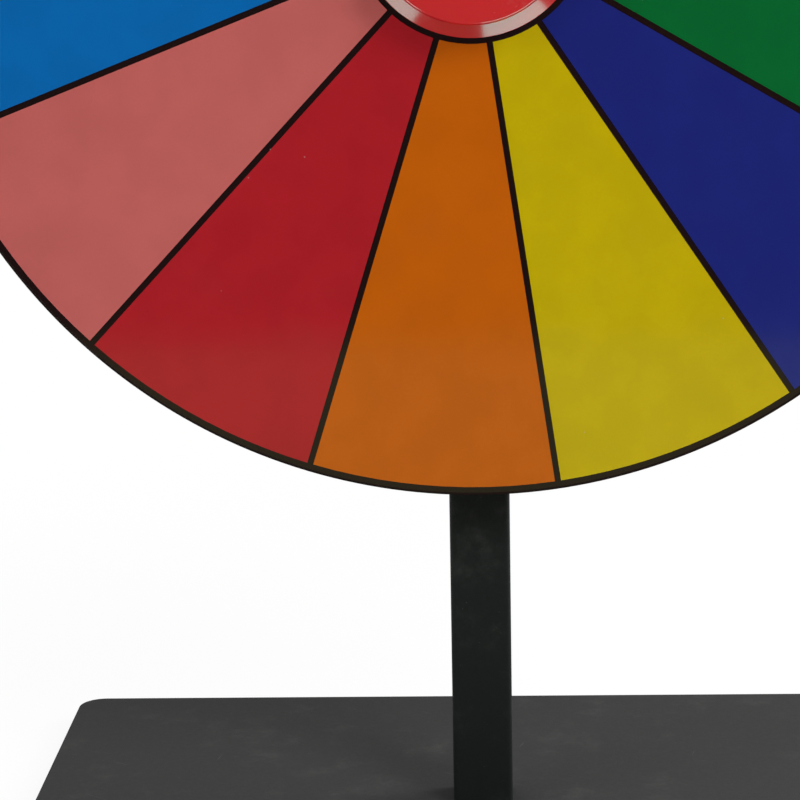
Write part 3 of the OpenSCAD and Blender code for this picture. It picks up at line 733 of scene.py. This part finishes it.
axlePlace = {"Turn": (pi / 2, 0, 0), "Place": (0, 0, axleHeight * mm)}
pair = {"Count": 2, "Begin": (-pointer["screwGap"] / 2 * mm, (pointScrewHeight - axleHeight) * mm, 0),
        "Step": (pointer["screwGap"] * mm, 0, 0), "Spin": pi / 3, **axlePlace}
head = (pointerArm["screwHead"], pointerArm["screwHeadHeight"])
screwBack = depths("pointer_screws")[0]
part = buttonScrew("pointerScrew", pointer["screw"], screwBack, pointFront, *head)
repeated("pointerScrews", "row", part, "stand", "zinc_steel", "pointer_screws", **pair)
nutBack, nutFront = depths("pointer_nuts")
thread = pointer["screw"] / 2 + hardware["threadGap"]
part = hexNut("pointerNut", pointer["nutAcross"], nutBack, nutFront, thread)
repeated("pointerNuts", "row", part, "stand", "zinc_steel", "pointer_nuts", **pair)

screwLow = span("pointer_arm_screws")[0]
part = buttonScrew("armScrew", pointerArm["screw"], screwLow.z, armHigh.z, *head)
repeated("pointerArmScrews", "row", part, "stand", "zinc_steel", "pointer_arm_screws", Count=2, Spin=pi / 3,
         Begin=(-pointerArm["screwGap"] / 2 * mm, 0, 0), Step=(pointerArm["screwGap"] * mm, 0, 0))
print("pointer: arm, arrow and screws")

# clicker

flapper = {"boss": 4.5, "neck": 3, "tip": 1.3, "bore": 2.05, "edge": 0.35, "screw": 4, "head": 7.2,
           "headHeight": 2.2}
flapLow = span("clicker_flapper")[0]
flapBack, flapFront = depths("clicker_flapper")
atPivot = onFace(pivotSide, pivotHeight)
tongueEnd = flapLow.z + flapper["tip"] - pivotHeight
tongueOutline = wrapped([(0, 0, flapper["neck"]), (0, tongueEnd, flapper["tip"])], 14)
tongue = pressed("clickerFlapper", tongueOutline, flapBack, flapFront, atPivot)
boss = pressed("boss", polygon(flapper["boss"], hardware["steps"]), flapBack, flapFront, atPivot)
carved(tongue, boss, operation="UNION")
eased(tongue, flapper["edge"], 3)
bore = rod("bore", flapper["bore"], flapBack - past, flapFront + past, steps=40, place=atPivot)
settled(carved(tongue, bore), "clicker", "nylon", "clicker_flapper")
screwBack, screwFront = depths("clicker_pivot_screw")
pivotScrew = buttonScrew("clickerPivotScrew", flapper["screw"], screwBack, screwFront - flapper["headHeight"],
                         flapper["head"], flapper["headHeight"], atPivot)
settled(pivotScrew, "stand", "zinc_steel", "clicker_pivot_screw")
pivotWasher = washer("clickerWasher", flapper["boss"], flapper["bore"], *depths("clicker_washer"), atPivot)
settled(pivotWasher, "stand", "nylon", "clicker_washer")
print("clicker: flapper on its pivot screw")

# axle

axle = {"size": 8, "across": 12.8, "washer": 16, "washerBore": 4.1, "tipEdge": (0.8, 0.9),
        "dish": (0.3, 0.27), "dishDepths": (0.15, 0.3)}
boltBack, boltFront = depths("axle_bolt")
washerBack, washerFront = depths("axle_washers")
bolt = hexNut("axleBolt", axle["across"], boltBack, washerBack, 0, onAxle, easeHigh=False)
r = axle["size"] / 2
inward, backward = axle["tipEdge"]
shankProfile = [(0, washerBack - past), (r, washerBack - past), (r, boltFront - backward),
                (r - inward, boltFront), (0, boltFront)]
carved(bolt, turned("shank", shankProfile, hardware["steps"]), operation="UNION")
wide, narrow = [axle["across"] * share for share in axle["dish"]]
shallow, deep = [boltBack + depth for depth in axle["dishDepths"]]
dishProfile = [(0, boltBack - past), (wide, boltBack - past), (wide, shallow), (narrow, deep), (0, deep)]
carved(bolt, turned("dish", dishProfile, hardware["steps"]))
settled(bolt, "stand", "zinc_steel", "axle_bolt")
jamBack, jamFront = depths("axle_jam_nut")
jamNut = hexNut("axleJamNut", axle["across"], jamBack, jamFront, r + hardware["threadGap"], onAxle)
settled(jamNut, "stand", "zinc_steel", "axle_jam_nut")
thickness = jamBack - postHigh.y
part = washer("axleWasher", axle["washer"] / 2, axle["washerBore"], washerBack, washerBack + thickness)
repeated("axleWashers", "row", part, "stand", "zinc_steel", "axle_washers", Count=2, Begin=(0, 0, 0),
         Step=(0, 0, (washerFront - washerBack - thickness) * mm), Spin=pi, **axlePlace)
print("axle: bolt, washers and nut")

# wheel

edgeBand = {"thick": 1, "edge": 0.4, "innerEdge": 0.1, "steps": 288}
bandRadius = span("edge_band")[1].x
bandBack, bandFront = depths("edge_band")
bandInside = bandRadius - edgeBand["thick"]
bandCorners = [(bandInside, bandBack, edgeBand["innerEdge"]), (bandRadius, bandBack, edgeBand["edge"]),
               (bandRadius, bandFront, edgeBand["edge"]), (bandInside, bandFront, edgeBand["innerEdge"])]
band = turned("edgeBand", rounded(bandCorners, 4), edgeBand["steps"])
settled(band, "wheel", "black_vinyl", "edge_band", finish=bandFinish)

pegs = {"count": 14, "circle": 208, "size": 6, "edge": 1.1, "innerEdge": 0.2, "firstAngle": radians(98.2),
        "steps": 40}
pegBack, pegFront = depths("pegs")
r = pegs["size"] / 2
pegCorners = [(0, pegBack, 0), (r, pegBack, pegs["edge"]), (r, pegFront, pegs["innerEdge"]), (0, pegFront, 0)]
part = turned("peg", rounded(pegCorners, 6), pegs["steps"], upright)
repeated("pegs", "ring", part, "wheel", "bearing_steel", "pegs", Count=pegs["count"],
         Radius=pegs["circle"] * mm, Start=pegs["firstAngle"], Spin=pi, **axlePlace)

hub = {"barrel": 15, "rearFlange": 42, "rearFlangeThick": 4, "seatDepth": 7, "seat": 11.05, "bore": 8.9,
       "edge": 0.8, "smallEdge": 0.4, "seatEdge": 0.3, "neckFillet": 1.5, "faceEdge": 0.2, "gap": 0.05,
       "boltCircle": 28, "boltCount": 4, "boltStart": radians(45), "boltHole": 2.6, "bolt": 5, "boltHead": 9,
       "boltHeadHeight": 2.75, "nutAcross": 8, "washer": 10, "steps": 128}
hubBack, hubFront = depths("hub_barrel")
boardBack = depths("wheel_board")[0]
rear = boardBack - hub["rearFlangeThick"]
rearSeat = hubBack + hub["seatDepth"]
frontSeat = hubFront - hub["seatDepth"]


def boltDrills(low, high):
    drills = []
    for i in range(hub["boltCount"]):
        angle = hub["boltStart"] + 2 * pi * i / hub["boltCount"]
        out = Vector((cos(angle), sin(angle), 0)) * hub["boltCircle"]
        drills.append(rod("boltDrill", hub["boltHole"], low, high, place=onAxle @ Matrix.Translation(out)))
    return drills


barrelCorners = [(hub["bore"], rearSeat, 0), (hub["seat"], rearSeat, 0),
                 (hub["seat"], hubBack, hub["smallEdge"]), (hub["barrel"], hubBack, hub["edge"]),
                 (hub["barrel"], rear, hub["neckFillet"]), (hub["rearFlange"], rear, hub["edge"]),
                 (hub["rearFlange"], boardBack, hub["faceEdge"]), (hub["barrel"], boardBack, 0),
                 (hub["barrel"], hubFront, hub["smallEdge"]), (hub["seat"], hubFront, hub["seatEdge"]),
                 (hub["seat"], frontSeat, 0), (hub["bore"], frontSeat, 0)]
barrel = turned("hubBarrel", rounded(barrelCorners, 5), hub["steps"])
carved(barrel, *boltDrills(rear - past, boardBack + past))
settled(barrel, "wheel", "black_plastic", "hub_barrel")

redFlange = {"land": 0.5, "step": 0.4, "edge": 0.25, "spigotWall": 2, "spigotEdge": 0.4, "innerFillet": 0.3,
             "steps": 192}
redCap = {"wall": 2.4, "rise": 5.4, "edge": 1.6, "skirtEdges": (0.3, 0.2), "domeSteps": 14, "steps": 160}
flangeBack, spigotTop = depths("hub_flange")
capBack, capFront = depths("hub_cap")
flangeRadius = span("hub_flange")[1].x
capRadius = span("hub_cap")[1].x
capInside = capRadius - redCap["wall"]
spigot = capInside - hub["gap"]
spigotInside = spigot - redFlange["spigotWall"]
flangeBore = hub["barrel"] + hub["gap"]
flangeCorners = [(flangeBore, flangeBack, 0), (flangeRadius, flangeBack, 0),
                 (flangeRadius, flangeBack + redFlange["land"], redFlange["edge"]),
                 (capRadius + redFlange["step"], capBack, redFlange["edge"]), (spigot, capBack, 0),
                 (spigot, spigotTop, redFlange["spigotEdge"]),
                 (spigotInside, spigotTop, redFlange["spigotEdge"]),
                 (spigotInside, capBack, redFlange["innerFillet"]), (flangeBore, capBack, 0)]
flange = turned("hubFlange", rounded(flangeCorners, 6), redFlange["steps"])
carved(flange, *boltDrills(flangeBack - past, capBack + past))
settled(flange, "wheel", "red_plastic", "hub_flange")


def capSection(radius, crest):  # from the crest of the cap out to the edge of its skirt
    rise = redCap["rise"]
    ball = (radius ** 2 + rise ** 2) / (2 * rise)
    rim = asin(radius / ball)
    leans = [rim * i / redCap["domeSteps"] for i in range(redCap["domeSteps"])]
    dome = [(ball * sin(lean), crest - ball + ball * cos(lean), 0) for lean in leans]
    return dome + [(radius, crest - rise, redCap["edge"])]


outerEdge, innerEdge = redCap["skirtEdges"]
outside = capSection(capRadius, capFront)
inside = capSection(capInside, capFront - redCap["wall"])
capCorners = outside + [(capRadius, capBack, outerEdge), (capInside, capBack, innerEdge)] + inside[::-1]
cap = turned("hubCap", rounded(capCorners, 7), redCap["steps"])
settled(cap, "wheel", "red_plastic", "hub_cap")

fourBolts = {"Count": hub["boltCount"], "Radius": hub["boltCircle"] * mm, "Start": hub["boltStart"],
             **axlePlace}
boltTail, boltTop = depths("hub_bolts")
part = buttonScrew("hubBolt", hub["bolt"], boltTail, boltTop - hub["boltHeadHeight"], hub["boltHead"],
                   hub["boltHeadHeight"])
repeated("hubBolts", "ring", part, "wheel", "zinc_steel", "hub_bolts", Spin=pi / 3, **fourBolts)
part = washer("hubWasher", hub["washer"] / 2, hub["boltHole"], *depths("hub_washers"))
repeated("hubWashers", "ring", part, "wheel", "zinc_steel", "hub_washers", Spin=pi, **fourBolts)
part = hexNut("hubNut", hub["nutAcross"], *depths("hub_nuts"), hub["bolt"] / 2 + hardware["threadGap"])
repeated("hubNuts", "ring", part, "wheel", "zinc_steel", "hub_nuts", Spin=pi / 3, **fourBolts)
print("wheel: band, pegs and hub")

# stage, light and camera, in metres

stage = {"floor": 14, "drop": 0.0001, "near": 0.25, "far": 0.8, "nearShare": 0.9,
         "paper": (0.86, 0.86, 0.86, 1), "white": (1, 1, 1, 1), "paperEdge": (-0.15, 0.05),
         "tableEdge": (-1.19, -1.17), "table": (0.34, 0.37, 0.19, 1), "room": (0.04, 0.04, 0.04, 1),
         "horizon": (-0.1, 0.1)}
light = {"sky": (0.5, 0.5, 0.5, 1),  # lamps: name, place, size, watts; cards: name, place, size, brightness
         "lamps": [("rightSoftbox", (1.15, -1.5, 1.55), 0.9, 24.6),
                   ("leftSoftbox", (-1.5, -1.1, 1.1), 1.2, 8.5),
                   ("sideSoftbox", (0.75, 0.35, 0.5), 0.45, 7),
                   ("backSoftbox", (-0.5, 1.7, 1.6), 1.3, 9)],
         "cards": [("rightCard", (0.16, -0.235, 0.02), (0.26, 0.17), 6.5),
                   ("leftCard", (-0.414, -0.25, 0.02), (0.4, 0.2), 6)],
         "cardTint": (0.35, 1, 0.9)}  # cool, so that the glints come out grey on the red
scene = bpy.context.scene
scene.view_settings.view_transform = "Standard"


def sightLines(start):  # 1 for what is seen directly or through glass, and 1 for what is seen in a reflection
    seen = start.node("ShaderNodeLightPath").outputs()
    return start.math("MAXIMUM", seen["Is Camera Ray"], seen["Is Transmission Ray"]), seen["Is Glossy Ray"]


floorMesh = bmesh.new()
bmesh.ops.create_grid(floorMesh, x_segments=1, y_segments=1, size=stage["floor"] / mm)
floor = closed("floor", floorMesh, Matrix.Translation((0, 0, -stage["drop"] / mm)))
floorFinish, spot = newFinish("palePaper")
away = spot.node("ShaderNodeVectorMath", {"operation": "LENGTH"}, {0: spot}, "Value")
direct, mirrored = sightLines(spot)
forward = axes(spot)[1]
# reflections find the white paper behind, a dimmer table in front of it and a dark room past the table
inFront = mixed(ramped(forward, *stage["tableEdge"]), stage["room"], stage["table"])
around = mixed(ramped(forward, *stage["paperEdge"]), inFront, stage["white"])
share = direct * (stage["nearShare"] + (1 - stage["nearShare"]) * ramped(away, stage["near"], stage["far"]))
paper = spot.node("ShaderNodeBsdfDiffuse", {}, {"Color": stage["paper"]})
glow = spot.node("ShaderNodeEmission", {}, {"Color": mixed(mirrored, stage["white"], around)})
both = spot.node("ShaderNodeMixShader", {}, {0: spot.math("MAXIMUM", share, mirrored), 1: paper, 2: glow})
spot.node("ShaderNodeOutputMaterial", {}, {"Surface": both})
floor.data.materials.append(floorFinish)

world = bpy.data.worlds.new("studio")
scene.world = world
world.use_nodes = True
world.node_tree.nodes.clear()
sky = Wire(world.node_tree)
direct, mirrored = sightLines(sky)
behind = ramped(axes(sky.node("ShaderNodeTexCoord", out="Generated"))[1], *stage["horizon"])
shown = mixed(direct, light["sky"], stage["white"])
shown = mixed(mirrored, shown, mixed(behind, stage["room"], stage["white"]))
glow = sky.node("ShaderNodeBackground", {}, {"Color": shown})
sky.node("ShaderNodeOutputWorld", {}, {"Surface": glow})


def areaLamp(name, shape, place, turn):
    lamp = bpy.data.lights.new(name, "AREA")
    lamp.shape = shape
    made = bpy.data.objects.new(name, lamp)
    scene.collection.objects.link(made)
    made.matrix_world = Matrix.Translation(place) @ turn
    made.visible_camera = False
    return made


for name, place, size, power in light["lamps"]:
    toWheel = Vector((0, 0, axleHeight * mm)) - Vector(place)
    box = areaLamp(name, "SQUARE", place, toWheel.to_track_quat("-Z", "Y").to_matrix().to_4x4())
    box.data.size = size
    box.data.energy = power
gloss = bpy.data.collections.new("hubGloss")
gloss.objects.link(flange)
gloss.objects.link(cap)
for name, place, (width, depth), shine in light["cards"]:  # lie in front and show only in the hub
    card = areaLamp(name, "RECTANGLE", place, Matrix.Rotation(pi, 4, "X"))
    card.data.size = width
    card.data.size_y = depth
    card.data.energy = shine * pi * width * depth
    card.data.color = light["cardTint"]
    card.visible_diffuse = False
    card.light_linking.receiver_collection = gloss

view = {"place": (0.0138, -1.1591, 0.424), "yaw": radians(2.29), "pitch": radians(11.78),
        "roll": radians(1.09), "lens": 128.4, "sensor": 36, "clip": (0.01, 100)}
lens = bpy.data.cameras.new("photoCamera")
lens.lens = view["lens"]
lens.sensor_width = view["sensor"]
lens.clip_start, lens.clip_end = view["clip"]
camera = bpy.data.objects.new("photoCamera", lens)
scene.collection.objects.link(camera)
turns = ((view["yaw"], "Z"), (pi / 2 - view["pitch"], "X"), (-view["roll"], "Z"))
camera.matrix_world = Matrix.Translation(view["place"])
for angle, axis in turns:
    camera.matrix_world = camera.matrix_world @ Matrix.Rotation(angle, 4, axis)
scene.camera = camera
print("stage: floor, lamps and camera")
